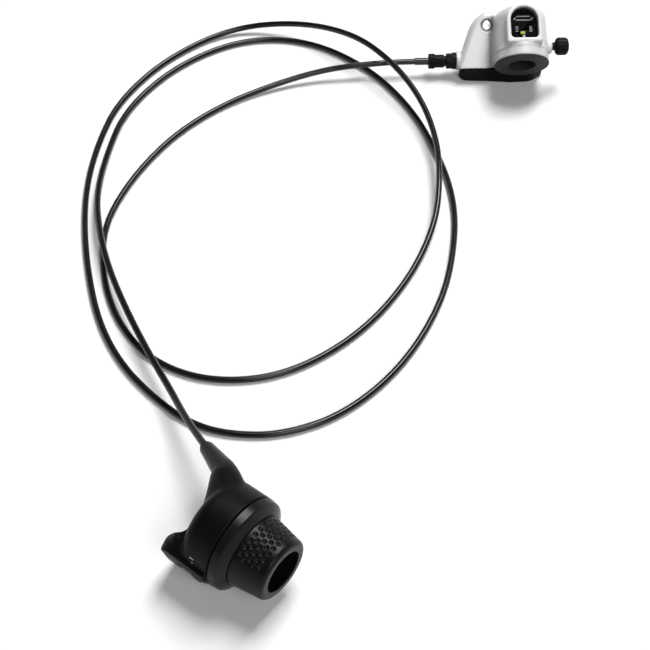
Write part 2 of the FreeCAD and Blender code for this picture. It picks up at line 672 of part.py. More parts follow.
def placed(shape):
    """From the frame that stands on the table to the shifter's frame."""
    shape = shape.copy()
    turn = FreeCAD.Rotation(V(0, 0, 1), BELL_TURN_DEG)
    shape.Placement = FreeCAD.Placement(BELL_PLACE + V(0, 0, TABLE_Z), turn).multiply(shape.Placement)
    return shape


def on_axle(y, z=0.0):
    """Height and depth on the table of a point in the tilted frame."""
    return (y * math.cos(TILT) - z * math.sin(TILT), BOSS_HEIGHT + y * math.sin(TILT) + z * math.cos(TILT))


PANEL_FOOT = (12.9, 13.0)
PANEL_HEAD = (36.5, 38.5)
PANEL_SLOPE = math.atan2(PANEL_HEAD[1] - PANEL_FOOT[1], PANEL_HEAD[0] - PANEL_FOOT[0])
PANEL_NORMAL = V(0, -math.sin(PANEL_SLOPE), math.cos(PANEL_SLOPE))
BACK_Y = 43.0
POD_LEFT = (-43.3, 14.0)
POD_LEFT_BACK = (-30.5, 40.0)
POD_RIGHT = -8.0
POD_BACK_CORNER = 20.0
PANEL_EDGE = 3.5
TALL = 3 * BOSS_HEIGHT
SKIRT_CORNER = 8.0


def cover_boss(inset):
    """Round body in line with the axle, domed at its back."""
    start = -1.0 if inset else 0.0
    body = rod(V(0, start, 0), V(0, 1, 0), BOSS_LENGTH - inset - start, BOSS_R - inset)
    back = [edge for edge in body.Edges if edge.CenterOfMass.y > BOSS_LENGTH - inset - 0.1]
    return tilted(body.makeFillet(BOSS_DOME - 2 * inset, back))


def cover_skirt(inset):
    """Walls that carry the round body down to the base."""
    front_y = FRONT_RING_LENGTH - COVER_WALL + inset
    foot = BASE_HEIGHT - (1.0 if inset else 0.0)
    top = on_axle(front_y)
    drop = (top[1] - foot) * math.tan(TILT)
    back = on_axle(BOSS_LENGTH - 2.0 - inset)
    wall_y = BACK_Y - 0.3 - inset
    outline = [(top[0] + drop, foot), top, back, (wall_y, back[1] - 10.0), (wall_y, foot)]
    half = BOSS_R - inset
    side = side_prism(outline, -half, half, [0, 0, 0, 7.0, 0])
    corner = SKIRT_CORNER - inset
    plan = plan_prism([(-half, -5), (half, -5), (half, wall_y), (-half, wall_y)], 0, TALL,
                      [0, 0, corner, corner])
    return side.common(plan)


def cover_pod(inset):
    """Side pod with a sloping face, narrower to the back."""
    foot = BASE_HEIGHT - (1.0 if inset else 0.0)
    sink = inset / math.cos(PANEL_SLOPE)
    run = (PANEL_FOOT[1] - sink - foot) / math.tan(PANEL_SLOPE)
    wall_y = BACK_Y - inset
    head_z = PANEL_HEAD[1] + (wall_y - 2.0 - PANEL_HEAD[0]) * 0.2
    outline = [(PANEL_FOOT[0] - run, foot), (PANEL_HEAD[0], PANEL_HEAD[1] - sink), (wall_y, head_z - sink),
               (wall_y, foot)]
    side = side_prism(outline, POD_LEFT[0] - 1.0, POD_RIGHT, [0, 4.5 - inset, 4.0 - inset, 0])
    lean = math.atan2(POD_LEFT_BACK[0] - POD_LEFT[0], POD_LEFT_BACK[1] - POD_LEFT[1])
    shift = inset / math.cos(lean)
    front_x = POD_LEFT[0] + shift - 14.0 * math.tan(lean)
    back_x = POD_LEFT[0] + shift + (wall_y - POD_LEFT[1]) * math.tan(lean)
    plan = plan_prism([(front_x, POD_LEFT[1] - 14.0), (POD_RIGHT, POD_LEFT[1] - 14.0), (POD_RIGHT, wall_y),
                       (back_x, wall_y)], 0, TALL, [0, 0, 0, POD_BACK_CORNER - inset])
    body = side.common(plan)
    if inset:
        return body
    slanted = [edge for edge in body.Edges if edge.BoundBox.XLength > 5 and edge.BoundBox.YLength > 5
               and edge.BoundBox.ZLength > 5]
    return body.makeFillet(PANEL_EDGE, slanted)


def arch(half_width, front, length, corner, z0, z1):
    """Plate with a straight front edge, rounded front corners and a round back."""
    side_y = front + length - half_width
    lean = corner * (1 - math.sqrt(0.5))
    a = V(corner - half_width, front, z0)
    b = V(half_width - corner, front, z0)
    c = V(half_width, front + corner, z0)
    d = V(half_width, side_y, z0)
    e = V(-half_width, side_y, z0)
    f = V(-half_width, front + corner, z0)
    edges = [
        Part.LineSegment(a, b).toShape(), Part.Arc(b, V(half_width - lean, front + lean, z0), c).toShape(),
        Part.LineSegment(c, d).toShape(), Part.Arc(d, V(0, front + length, z0), e).toShape(),
        Part.LineSegment(e, f).toShape(), Part.Arc(f, V(lean - half_width, front + lean, z0), a).toShape(),
    ]
    return Part.Face(Part.Wire(edges)).extrude(V(0, 0, z1 - z0))


def window_arch(inset, z0, z1):
    corner = BEZEL_CORNER if inset < BEZEL_RIM else GLASS_CORNER + BEZEL_RIM - inset
    return arch(BEZEL_HALF_WIDTH - inset, BEZEL_FRONT + inset, BEZEL_LENGTH - 2 * inset, corner, z0, z1)


def wire_rod(x0, x1, radius):
    return rod(V(x0, WIRE_Y, WIRE_HEIGHT), V(1, 0, 0), x1 - x0, radius)


def bell_cover():
    bezel = window_arch(0, 4, BEZEL_TOP)
    rim = [edge for edge in bezel.Edges if edge.CenterOfMass.z > BEZEL_TOP - 0.01]
    bezel = bezel.makeFillet(0.8, rim)
    ring = rod(V(0, 0, 0), V(0, 1, 0), FRONT_RING_LENGTH, FRONT_RING_R)
    mouth = [edge for edge in ring.Edges if edge.CenterOfMass.y < 0.1]
    ring = ring.makeFillet(0.8, mouth)
    lip = rod(V(0, FRONT_RING_LENGTH, 0), V(0, 1, 0), LIP_WIDTH, LIP_R)
    lip = lip.common(Part.makeBox(3 * LIP_R, 3 * LIP_R, 2 * LIP_R, V(-1.5 * LIP_R, -LIP_R, 2)))
    screw_seat = rod(V(BOSS_R - 4, SCREW_Y, 0), V(1, 0, 0), SCREW_SEAT_X - BOSS_R + 4, SCREW_SEAT_R)
    adjuster_seat = wire_rod(SEAT_X, SEAT_X + SEAT_LENGTH, SEAT_R)
    outer = joined(cover_boss(0), cover_skirt(0), cover_pod(0), tilted(bezel), tilted(ring), tilted(lip),
                   tilted(screw_seat), adjuster_seat)
    shell = outer.cut([cover_boss(COVER_WALL), cover_skirt(COVER_WALL), cover_pod(COVER_WALL)])
    pivot_rib = Part.makeBox(13, 16, 4, V(PIVOT_X - 5, PIVOT_Y - 5, ARM_BOTTOM - ARM_THICKNESS - 1.2))
    roof_boss = rod(V(PIVOT_X, PIVOT_Y, HUB_TOP + 0.3), V(0, 0, 1), 6, HUB_R)
    inside = [tilted(pivot_rib).common(outer), tilted(roof_boss).common(outer)]
    inside.append(rod(COVER_SCREW, PANEL_NORMAL * -1, CUP_DEPTH, CUP_R).common(outer))
    for y in BASE_SCREW_YS:
        inside.append(rod(V(BASE_SCREW_X, y, BASE_HEIGHT), V(0, 0, 1), STUD_HEIGHT, STUD_R).common(outer))
    shell = joined(shell, *inside)
    cuts = [
        tilted(window_arch(BEZEL_RIM + LEDGE, 4, BEZEL_TOP + 1)),
        tilted(window_arch(BEZEL_RIM, PLATE_LEVEL, BEZEL_TOP + 1)),
        tilted(rod(V(PIVOT_X, PIVOT_Y, ARM_BOTTOM - 8), V(0, 0, 1),
                   HUB_TOP - ARM_BOTTOM + 11, PIN_R + FIT / 2)),
        tilted(rod(V(BOSS_R - 5, SCREW_Y, 0), V(1, 0, 0), 12, SCREW_R + FIT)),
        wire_rod(SEAT_X - 1, SEAT_X + SEAT_LENGTH + 4, STEM_R + FIT),
        rod(COVER_SCREW + PANEL_NORMAL * 4, PANEL_NORMAL * -1, 4 + COUNTERBORE_DEPTH, COUNTERBORE_R),
        rod(COVER_SCREW, PANEL_NORMAL * -1, 12, SHANK_R + 0.2),
    ]
    for y in BASE_SCREW_YS:
        cuts.append(rod(V(BASE_SCREW_X, y, BASE_HEIGHT - 1), V(0, 0, 1), STUD_HEIGHT - 1, SHANK_R + FIT))
    return shell.cut(cuts)


def base_outline(inset, front_inset):
    lean = (POD_LEFT_BACK[0] - POD_LEFT[0]) / (POD_LEFT_BACK[1] - POD_LEFT[1])
    back_y = BACK_Y + BASE_LEDGE - inset
    back_x = POD_LEFT[0] + (back_y - POD_LEFT[1]) * lean + inset
    right_x = BASE_RIGHT - inset
    front = [(x, y + front_inset) for x, y in BASE_FRONT]
    return [(BASE_LEFT[0] + inset, BASE_LEFT[1] + front_inset), *front,
            (right_x, BASE_RIGHT_FRONT + front_inset), (right_x, back_y), (back_x, back_y)]


def base_corners(inset):
    return [BASE_CORNER - inset, 20.0, 20.0, 12.0,
            BASE_CORNER - inset, SKIRT_CORNER - inset, POD_BACK_CORNER - inset]


def bell_base():
    body = plan_prism(base_outline(0, 0), 0, BASE_HEIGHT, base_corners(0))
    under = [edge for edge in body.Edges if edge.BoundBox.ZMax < 0.01]
    body = body.makeFillet(BASE_EDGE - 0.3, under)
    pocket = plan_prism(base_outline(BASE_WALL, 5.0), BASE_FLOOR, BASE_HEIGHT + 1, base_corners(BASE_WALL))
    cuts = [
        pocket, tilted(rod(V(0, -12, 0), V(0, 1, 0), 30, FRONT_RING_R + 0.2)),
        wire_rod(SEAT_X - 4, SEAT_X + SEAT_LENGTH + 1, SEAT_R + 0.2),
    ]
    head_seat = COUNTERBORE_DEPTH - 0.6
    posts = [rod(V(BASE_SCREW_X, y, BASE_FLOOR / 2), V(0, 0, 1), BASE_HEIGHT - BASE_FLOOR / 2, STUD_R)
             for y in BASE_SCREW_YS]
    body = body.cut(cuts)
    screw_post = rod(V(COVER_SCREW.x, COVER_SCREW.y + 3.0, BASE_FLOOR / 2), V(0, 0, 1),
                     COVER_SCREW.z - BASE_FLOOR / 2 - 1.8, POST_R)
    roof = Part.makeBox(2 * TALL, 2 * TALL, TALL, V(-TALL, -TALL, -CUP_DEPTH - 0.2))
    lean = FreeCAD.Rotation(V(1, 0, 0), math.degrees(PANEL_SLOPE))
    roof.Placement = FreeCAD.Placement(COVER_SCREW, lean).multiply(roof.Placement)
    body = joined(body, screw_post.cut(roof), *posts)
    holes = [rod(COVER_SCREW, PANEL_NORMAL * -1, CUP_DEPTH + SHANK_LENGTH + 2, SHANK_R + FIT)]
    for y in BASE_SCREW_YS:
        holes.append(rod(V(BASE_SCREW_X, y, -1), V(0, 0, 1), BASE_HEIGHT + 2, SHANK_R + 0.2))
        holes.append(rod(V(BASE_SCREW_X, y, -1), V(0, 0, 1), 1 + head_seat, SCREW_HEAD_R + 0.2))
    return body.cut(holes)


def pan_screw(seat, direction, shank_length):
    """Screw whose head sits on the seat and whose shank points along the direction."""
    head = rod(seat - direction * SCREW_HEAD_HEIGHT, direction, SCREW_HEAD_HEIGHT, SCREW_HEAD_R)
    top = seat - direction * SCREW_HEAD_HEIGHT
    rim = [edge for edge in head.Edges if (edge.CenterOfMass - top).Length < 0.1]
    head = head.makeFillet(0.7, rim)
    key = hexagon(top - direction, direction, 1.0 + SCREW_HEAD_HEIGHT * 0.6, 2.5)
    return joined(head, rod(seat, direction, shank_length, SHANK_R)).cut(key)


def cover_screw():
    inward = PANEL_NORMAL * -1
    shank = CUP_DEPTH - COUNTERBORE_DEPTH + SHANK_LENGTH
    return pan_screw(COVER_SCREW + inward * COUNTERBORE_DEPTH, inward, shank)


def base_screws():
    seat = COUNTERBORE_DEPTH - 0.6
    shank = BASE_HEIGHT + STUD_HEIGHT - seat - 4
    return Part.makeCompound([pan_screw(V(BASE_SCREW_X, y, seat), V(0, 0, 1), shank) for y in BASE_SCREW_YS])


def axle_socket():
    """Sleeve for the axle's end, with a face plate that closes the cover's front."""
    along = V(0, 1, 0)
    plate = rod(V(0, -SOCKET_FACE, 0), along, SOCKET_FACE, FRONT_RING_R - FIT)
    rim = [edge for edge in plate.Edges if edge.CenterOfMass.y < FIT - SOCKET_FACE]
    body = joined(plate.makeFillet(SOCKET_FACE / 2, rim),
                  rod(V(0, 0, 0), along, SOCKET_FLANGE, BOSS_R - COVER_WALL - FIT),
                  rod(V(0, 0, 0), along, SOCKET_LENGTH, SOCKET_R))
    return tilted(body.cut([
        rod(V(0, -SOCKET_FACE - 1, 0), along, SOCKET_LENGTH + SOCKET_FACE + 2, AXLE_R),
        rod(V(AXLE_R - 2, SCREW_Y, 0), V(1, 0, 0), 10, SCREW_R + 0.2),
    ]))


def window_lens():
    z1 = BEZEL_TOP - LENS_INSET
    return tilted(window_arch(BEZEL_RIM + 0.1, z1 - LENS_THICKNESS, z1))


def index_plate():
    """Dark plate under the lens, with a curved slot for the lever's index."""
    plate = window_arch(BEZEL_RIM + 0.1, PLATE_LEVEL, PLATE_LEVEL + PLATE_THICKNESS)
    reach = math.hypot(INDEX_X - PIVOT_X, INDEX_Y - PIVOT_Y)
    heading = math.degrees(math.atan2(INDEX_Y - PIVOT_Y, INDEX_X - PIVOT_X))
    width = INDEX_R + 0.4
    low = PLATE_LEVEL - 1
    high = PLATE_LEVEL + 3
    face = Part.Face(Part.makePolygon([V(reach - width, 0, low), V(reach + width, 0, low),
                                       V(reach + width, 0, high), V(reach - width, 0, high),
                                       V(reach - width, 0, low)]))
    face.rotate(V(0, 0, 0), V(0, 0, 1), heading - 36)
    slot = face.revolve(V(0, 0, 0), V(0, 0, 1), 72)
    slot.translate(V(PIVOT_X, PIVOT_Y, 0))
    room = window_arch(BEZEL_RIM + 0.8, PLATE_LEVEL - 1, PLATE_LEVEL + 3)
    return tilted(plate.cut(slot.common(room)))


def link(start, end, half_width, z0, z1):
    """Flat bar with round ends between two points of the tilted frame."""
    along = (end - start).normalize()
    across = V(-along.y, along.x, 0) * half_width
    corners = [start + across, start - across, end - across, end + across]
    bar = plan_prism([(p.x, p.y) for p in corners], z0, z1)
    ends = [rod(V(p.x, p.y, z0), V(0, 0, 1), z1 - z0, half_width) for p in (start, end)]
    return joined(bar, *ends)


def bell_lever():
    pivot = V(PIVOT_X, PIVOT_Y, 0)
    anchor = V(PIVOT_X, ANCHOR_Y, 0)
    hub = rod(V(PIVOT_X, PIVOT_Y, ARM_BOTTOM), V(0, 0, 1), HUB_TOP - ARM_BOTTOM, HUB_R)
    arm = link(pivot, anchor, ARM_HALF_WIDTH + 1.0, ARM_BOTTOM, ARM_TOP)
    pusher = link(pivot, V(0, PIVOT_Y - 2.6, 0), ARM_HALF_WIDTH - 0.6, -PUSH_HALF_HEIGHT, PUSH_HALF_HEIGHT)
    index = V(INDEX_X, INDEX_Y, 0)
    riser = pivot + (index - pivot).normalize() * RISER_REACH
    half = INDEX_R + 0.2
    flag_top = FLAG_LEVEL + FLAG_THICKNESS
    flag = joined(link(pivot, riser, half, HUB_TOP - 2.0, HUB_TOP),
                  link(riser, index, half, FLAG_LEVEL, flag_top),
                  rod(V(riser.x, riser.y, HUB_TOP - 2.0), V(0, 0, 1), flag_top - HUB_TOP + 2.0, half))
    body = joined(hub, arm, pusher, flag)
    return tilted(body.cut([
        rod(V(PIVOT_X, PIVOT_Y, ARM_BOTTOM - 1), V(0, 0, 1), HUB_TOP - ARM_BOTTOM + 2, PIN_R + FIT),
        rod(V(PIVOT_X, ANCHOR_Y, ARM_BOTTOM - 1), V(0, 0, 1), ARM_THICKNESS + 2, ANCHOR_R + FIT),
    ]))


def lever_index():
    """Oval mark that shows through the plate's slot."""
    flag_top = FLAG_LEVEL + FLAG_THICKNESS
    level = PLATE_LEVEL + PLATE_THICKNESS * 0.8
    half = INDEX_R * 0.6
    reach = V(INDEX_R - half, 0, 0)
    centre = V(INDEX_X, INDEX_Y, 0)
    return tilted(link(centre - reach, centre + reach, half, flag_top, level))


def pivot_pin():
    z0 = ARM_BOTTOM - ARM_THICKNESS - 1.0
    return tilted(rod(V(PIVOT_X, PIVOT_Y, z0), V(0, 0, 1), HUB_TOP + 2.4 - z0, PIN_R))


def return_spring():
    """Coil round the lever's hub, between its two arms, as short runs and arcs that climb."""
    radius = HUB_R + SPRING_WIRE_R + 0.8
    points = []
    for i in range(SPRING_TURNS * SPRING_CORNERS + 1):
        angle = 2 * math.pi * i / SPRING_CORNERS
        points.append(V(PIVOT_X + radius * math.cos(angle), PIVOT_Y + radius * math.sin(angle),
                        ARM_TOP + 2.0 + SPRING_PITCH * i / SPRING_CORNERS))
    coil, _, _ = cable(points, SPRING_WIRE_R)
    return tilted(coil)


def anchor_washer():
    z1 = WIRE_TILT_Z - WIRE_R
    return tilted(tube(V(PIVOT_X, ANCHOR_Y, z1 - WASHER_THICKNESS), V(0, 0, 1), WASHER_THICKNESS, WASHER_R,
                       ANCHOR_R + FIT))


def anchor_bolt():
    z1 = WIRE_TILT_Z - WIRE_R - WASHER_THICKNESS
    head = hexagon(V(PIVOT_X, ANCHOR_Y, z1 - ANCHOR_HEAD_LENGTH), V(0, 0, 1), ANCHOR_HEAD_LENGTH,
                   ANCHOR_HEAD_R * math.sqrt(3))
    shank = rod(V(PIVOT_X, ANCHOR_Y, z1), V(0, 0, 1), ARM_TOP - z1 + 0.8, ANCHOR_R)
    return tilted(joined(head, shank))


def hub_wire():
    return wire_rod(SLEEVE_X + SEAT_DEPTH + 1.0, PIVOT_X + 7.0, WIRE_R)


def barrel_adjuster():
    stem = wire_rod(BARREL_X + BARREL_LENGTH - 1, SEAT_X + SEAT_LENGTH - 1, STEM_R)
    barrel_body = wire_rod(BARREL_X, BARREL_X + BARREL_LENGTH, BARREL_R)
    waist = wire_rod(BARREL_X + BARREL_LENGTH * 0.78, BARREL_X + BARREL_LENGTH, BARREL_R + 1).cut(
        wire_rod(BARREL_X, BARREL_X + BARREL_LENGTH + 1, BARREL_R - 0.9))
    knob = wire_rod(KNURL_X, BARREL_X, KNURL_R)
    knob = knob.makeFillet(0.6, [edge for edge in knob.Edges if edge.BoundBox.XLength < 0.01])
    grooves = []
    for i in range(KNURL_GROOVES):
        angle = 2 * math.pi * i / KNURL_GROOVES
        place = V(KNURL_X - 1, WIRE_Y + (KNURL_R + KNURL_DEPTH * 0.2) * math.cos(angle),
                  WIRE_HEIGHT + (KNURL_R + KNURL_DEPTH * 0.2) * math.sin(angle))
        grooves.append(rod(place, V(1, 0, 0), KNURL_LENGTH + 2, KNURL_DEPTH))
    body = joined(stem, barrel_body.cut(waist), knob.cut(grooves))
    return body.cut([wire_rod(KNURL_X - 1, SEAT_X + SEAT_LENGTH, WIRE_R + 0.4),
                     wire_rod(KNURL_X - 1, KNURL_X + SLEEVE_SEAT, SLEEVE_R + FIT)])


def lock_nut():
    """Hexagon nut with a round flange that bears on the cover."""
    flange_x = NUT_X + LOCK_NUT_LENGTH - LOCK_NUT_FLANGE
    nut = hexagon(V(NUT_X, WIRE_Y, WIRE_HEIGHT), V(1, 0, 0), flange_x - NUT_X, LOCK_NUT_FLATS)
    corner = LOCK_NUT_FLATS / math.sqrt(3)
    crown = wire_rod(NUT_X, flange_x, corner - 0.1)
    crown = crown.makeChamfer(0.5, [edge for edge in crown.Edges if edge.BoundBox.XMax < NUT_X + 0.01])
    body = joined(nut.common(crown), wire_rod(flange_x, flange_x + LOCK_NUT_FLANGE, corner))
    return body.cut(wire_rod(NUT_X - 1, NUT_X + LOCK_NUT_LENGTH + 1, STEM_R + FIT))


def adjuster_sleeve():
    body = wire_rod(SLEEVE_X, SLEEVE_X + SLEEVE_LENGTH, SLEEVE_R)
    body = body.makeFillet(0.5, [edge for edge in body.Edges if edge.BoundBox.XMax < SLEEVE_X + 0.1])
    return body.cut([wire_rod(SLEEVE_X - 1, SLEEVE_X + SEAT_DEPTH, CASING_R + CASING_FIT),
                     wire_rod(SLEEVE_X, SLEEVE_X + SLEEVE_LENGTH + 1, WIRE_R + 0.3)])


def fixing_screw():
    length = SCREW_SEAT_X + NECK_LENGTH + KNOB_LENGTH * 0.6 - SCREW_TIP_X
    return tilted(rod(V(SCREW_TIP_X, SCREW_Y, 0), V(1, 0, 0), length, SCREW_R))


def fixing_knob():
    """Moulded knob with a neck and a fluted head."""
    neck_x = SCREW_SEAT_X + 0.4
    head_x = neck_x + NECK_LENGTH
    end_x = head_x + KNOB_LENGTH
    body = turned([
        (neck_x, 0), (neck_x, NECK_R), (head_x - 1.0, NECK_R),
        (head_x, KNOB_R - 1.0), (head_x + 1.2, KNOB_R),
        (end_x - 2.0, KNOB_R), (end_x - 0.6, KNOB_R - 1.0), (end_x, KNOB_R - 2.4), (end_x, 0),
    ])
    flutes = []
    for i in range(KNOB_FLUTES):
        place = around(KNOB_R + KNOB_FLUTE_R * 0.55, 360.0 * i / KNOB_FLUTES, head_x - 1)
        flutes.append(rod(place, V(1, 0, 0), KNOB_LENGTH + 2, KNOB_FLUTE_R))
    hole_end = SCREW_SEAT_X + NECK_LENGTH + KNOB_LENGTH * 0.6
    hole = rod(V(SCREW_TIP_X, 0, 0), V(1, 0, 0), hole_end - SCREW_TIP_X, SCREW_R + FIT)
    knob = body.cut(flutes + [hole])
    knob.translate(V(0, SCREW_Y, 0))
    return tilted(knob)


def casing_route():
    """Points of the casing from its seat in the ferrule to its seat in the adjuster sleeve."""
    seat = NOZZLE_TIP - EXIT * (FERRULE_LENGTH - FERRULE_RIM) + EXIT * (FERRULE_LENGTH - SEAT_DEPTH)
    turn = FreeCAD.Rotation(V(0, 0, 1), BELL_TURN_DEG)
    base = BELL_PLACE + V(0, 0, TABLE_Z)
    end = base + turn.multVec(V(SLEEVE_X + SEAT_DEPTH, WIRE_Y, WIRE_HEIGHT))
    lead = base + turn.multVec(V(SLEEVE_X - 11.0, WIRE_Y, WIRE_HEIGHT))
    first = NOZZLE_TIP + EXIT * CASING_LEAD
    return [seat, first] + [V(*point) for point in CASING_ROUTE] + [lead, end]


def cable_casing():
    body, length, radii = cable(casing_route(), CASING_R)
    print("casing radii", [round(radius) for radius in radii])
    share = body.Volume / (math.pi * CASING_R ** 2 * length)
    print(f"casing length {length:.0f} mm, volume share {share:.4f}")
    return body


SHIFTER_PIECES = [
    shifter_housing, outlet_nozzle, casing_ferrule, clamp_bolt, clamp_nut, indicator_window, indicator_dial,
    indicator_pointer, cable_drum, wire_nipple, shift_wire, detent_spring, retaining_ring, grip_core,
    grip_collar, grip_rubber, cable_casing,
]
BELL_PIECES = [
    bell_cover, bell_base, cover_screw, base_screws, axle_socket, window_lens, index_plate, bell_lever,
    lever_index, pivot_pin, return_spring, anchor_washer, anchor_bolt, hub_wire, barrel_adjuster,
    lock_nut, adjuster_sleeve, fixing_screw, fixing_knob,
]

os.makedirs("parts", exist_ok=True)
for make in SHIFTER_PIECES:
    save(make.__name__, make())
for make in BELL_PIECES:
    save(make.__name__, placed(make()))
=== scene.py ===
import math

import bpy
from mathutils import Matrix, Vector


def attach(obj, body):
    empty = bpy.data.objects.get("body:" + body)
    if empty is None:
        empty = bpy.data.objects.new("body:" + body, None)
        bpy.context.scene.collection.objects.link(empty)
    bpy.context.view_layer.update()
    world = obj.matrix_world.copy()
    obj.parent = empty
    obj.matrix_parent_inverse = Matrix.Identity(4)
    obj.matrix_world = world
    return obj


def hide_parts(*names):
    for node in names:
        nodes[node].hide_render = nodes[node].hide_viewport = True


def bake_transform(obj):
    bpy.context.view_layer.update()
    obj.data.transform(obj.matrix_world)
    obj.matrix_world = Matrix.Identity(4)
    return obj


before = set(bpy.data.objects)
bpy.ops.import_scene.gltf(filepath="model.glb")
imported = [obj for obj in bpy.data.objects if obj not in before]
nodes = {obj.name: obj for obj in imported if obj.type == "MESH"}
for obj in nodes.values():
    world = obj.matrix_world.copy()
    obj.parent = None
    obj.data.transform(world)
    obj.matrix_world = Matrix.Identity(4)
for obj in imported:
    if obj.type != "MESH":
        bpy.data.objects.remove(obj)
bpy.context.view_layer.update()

MM = 0.001

# Sizes shared with the part, in millimetres or, where the name says so, in degrees
TABLE_Z = -26.0
CASING_R = 2.0
BARREL_R = 25.9
DIAL_R = 25.0
POINTER_DEG = 206.0
DETENT_STEP_DEG = 20.0
BOSS_HEIGHT = 25.0
BOSS_TILT_DEG = 30.0
PLATE_TOP = 14.6

# Printed marks in the bell crank's window, and light-grey bars painted as the highlights along its plate's
# steps, in millimetres from its middle and from the axle hole's middle
MARK_HEIGHT = 0.06
LINE_WIDTH = 0.6
FIXED_POINTER_SIZE = (2.8, 2.6)
FIXED_POINTER_Y = 14.5
# Painted highlights along the plate's steps: place and length of each light-grey bar
STEP_HIGHLIGHT_Y_AND_LENGTH = [(28.4, 9.2), (25.7, 10.2)]
CORNER_TICK_PLACE = (5.9, 26.8)
CORNER_TICK_LENGTH = 1.9
CORNER_TICK_DEG = 45.0
SCALE_TICK_PLACE = (4.7, 17.8)
SCALE_TICK_STEP = 1.5
SCALE_TICK_COUNT = 3
SCALE_TICK_LENGTH = 2.0

# Printed marks on the shifter, in millimetres or degrees
PRINT_SINK = 0.02
INDEX_DASH_SIZE = (2.6, 0.7)
INDEX_DASH_X = 4.8
INDEX_DASH_DEG = 165.0
INDEX_DOT_SIZE = (1.0, 1.0)
INDEX_DOT_X = 5.6
INDEX_DOT_DEG = 171.0
GEAR_COUNT = 3
FIGURE_SIZE = 4.2
FIGURE_DEPTH = 0.04
FIGURE_X = -1.6
FIGURE_STEP_DEG = 0.75 * DETENT_STEP_DEG

# Skins: how finely each is remeshed, in millimetres, and in how many steps it is smoothed
HOUSING_VOXEL = 0.45
HORN_STEPS = 220
POD_STEPS = 120
SLEEVE_VOXEL = 0.3
SLEEVE_STEPS = 3
COVER_VOXEL = 0.5
COVER_STEPS = 7
COVER_BLEND_STEPS = 60

# Where moulded forms flow into one another: centre and radius of each ball or soft zone, in millimetres
HORN_WEB = [((-9.5, 16.8, 12.6), 8.0), ((-2.2, -2.5, 18.4), 3.6), ((0.0, 9.0, 20.4), 3.4)]
HORN_BLENDS = [((-5, 10, 17), 14.5), ((-3, 21, 7), 6.0)]
POD_WEB = [((-13.0, -22.1, 0.1), 3.0), ((-8.5, -20.5, 4.5), 3.0), ((-12.8, -22.0, -6.0), 3.4)]
POD_BLENDS = [((-3, -21, 8), 9.0), ((5, -24, 7), 5.5), ((-7, -14, 3), 7.0), ((-13, -22, 1), 6.0)]
COVER_BLENDS = [((-104, 404, -11), 5.0), ((-107, 407.5, -5.5), 5.0), ((-110, 411, 0), 5.0),
                ((-113, 415, 5), 5.0), ((-115, 418, 11), 6.0)]

# Route of the casing, in millimetres: out of the nozzle, two loose turns, into the bell crank
NOZZLE_TIP = Vector((-34.96, 30.05, 3.33))
NOZZLE_AXIS = Vector((-0.88, 0.362, -0.308)).normalized()
CASING_SEAT = 5.8
CASING_LEAD = 23.0
BELL_PLACE = Vector((-80.6, 404.1, TABLE_Z))
BELL_TURN_DEG = 40.0
SLEEVE_LEAD = Vector((-82.4, 21.5, 11.6))
SLEEVE_SEAT = Vector((-64.4, 21.5, 11.6))
CASING_ROUTE = [
    (-85, 54, -12), (-115, 67, -14), (-148, 83, -15), (-179, 100, -15),
    (-206, 119, -15), (-233, 143, -19), (-257, 175, -23), (-281, 218, -24), (-286, 275, -24),
    (-269, 328, -24), (-231, 356, -24), (-179, 359, -24), (-129, 343, -24), (-88, 317, -24),
    (-56, 290, -24), (-32, 258, -24), (-9, 212, -24), (2, 157, -24), (-3, 109, -24),
    (-21, 76, -24), (-45, 57, -24), (-68, 49, -24), (-98, 50, -24), (-128, 56, -24),
    (-159, 70, -24), (-191, 93, -24), (-222, 120, -24), (-249, 149, -24), (-272, 183, -24),
    (-291, 222, -24), (-297, 277, -24), (-283, 332, -23), (-243, 359, -15), (-195, 362, -4),
    (-156, 355, -4), (-120, 341, -9), (-89, 317, -13), (-66, 288, -14), (-49, 260, -20),
    (-37, 221, -24), (-32, 178, -24), (-36, 141, -24), (-48, 109, -24), (-67, 87, -24),
    (-91, 73, -24), (-119, 69, -24), (-146, 76, -24), (-169, 88, -24), (-191, 105, -24),
    (-211, 127, -24), (-223, 151, -24), (-233, 186, -24), (-237, 226, -24), (-231, 267, -24),
    (-216, 302, -22), (-197, 330, -18), (-177, 349, -15),
]

# Camera, fitted to the picture: millimetres, and pixels where the name says so
CAMERA_PLACE = Vector((254.4, -233.9, 564.0))
CAMERA_AIM = Vector((-53.8, 153.6, -26.0))
FOCAL_PX = 1293.9
PICTURE_PX = 650
SENSOR_WIDTH = 36.0

# Studio: lengths in metres, and the strength of the room's light
FLOOR_SIZE = 40
FLOOR_DROP = 0.0001
STUDIO_MIDDLE = (-0.1, 0.2, 0.0)
ROOM_LIGHT = 0.06


class Value:
    """A shader socket that Python's operators work on."""

    def __init__(self, paint, socket):
        self.paint = paint
        self.socket = socket

    def combine(self, operation, first, second):
        return self.paint.node("ShaderNodeMath", {"operation": operation}, {0: first, 1: second})

    def __add__(self, other):
        return self.combine("ADD", self, other)

    def __mul__(self, other):
        return self.combine("MULTIPLY", self, other)

    def __gt__(self, other):
        return self.combine("GREATER_THAN", self, other)

    __radd__ = __add__
    __rmul__ = __mul__


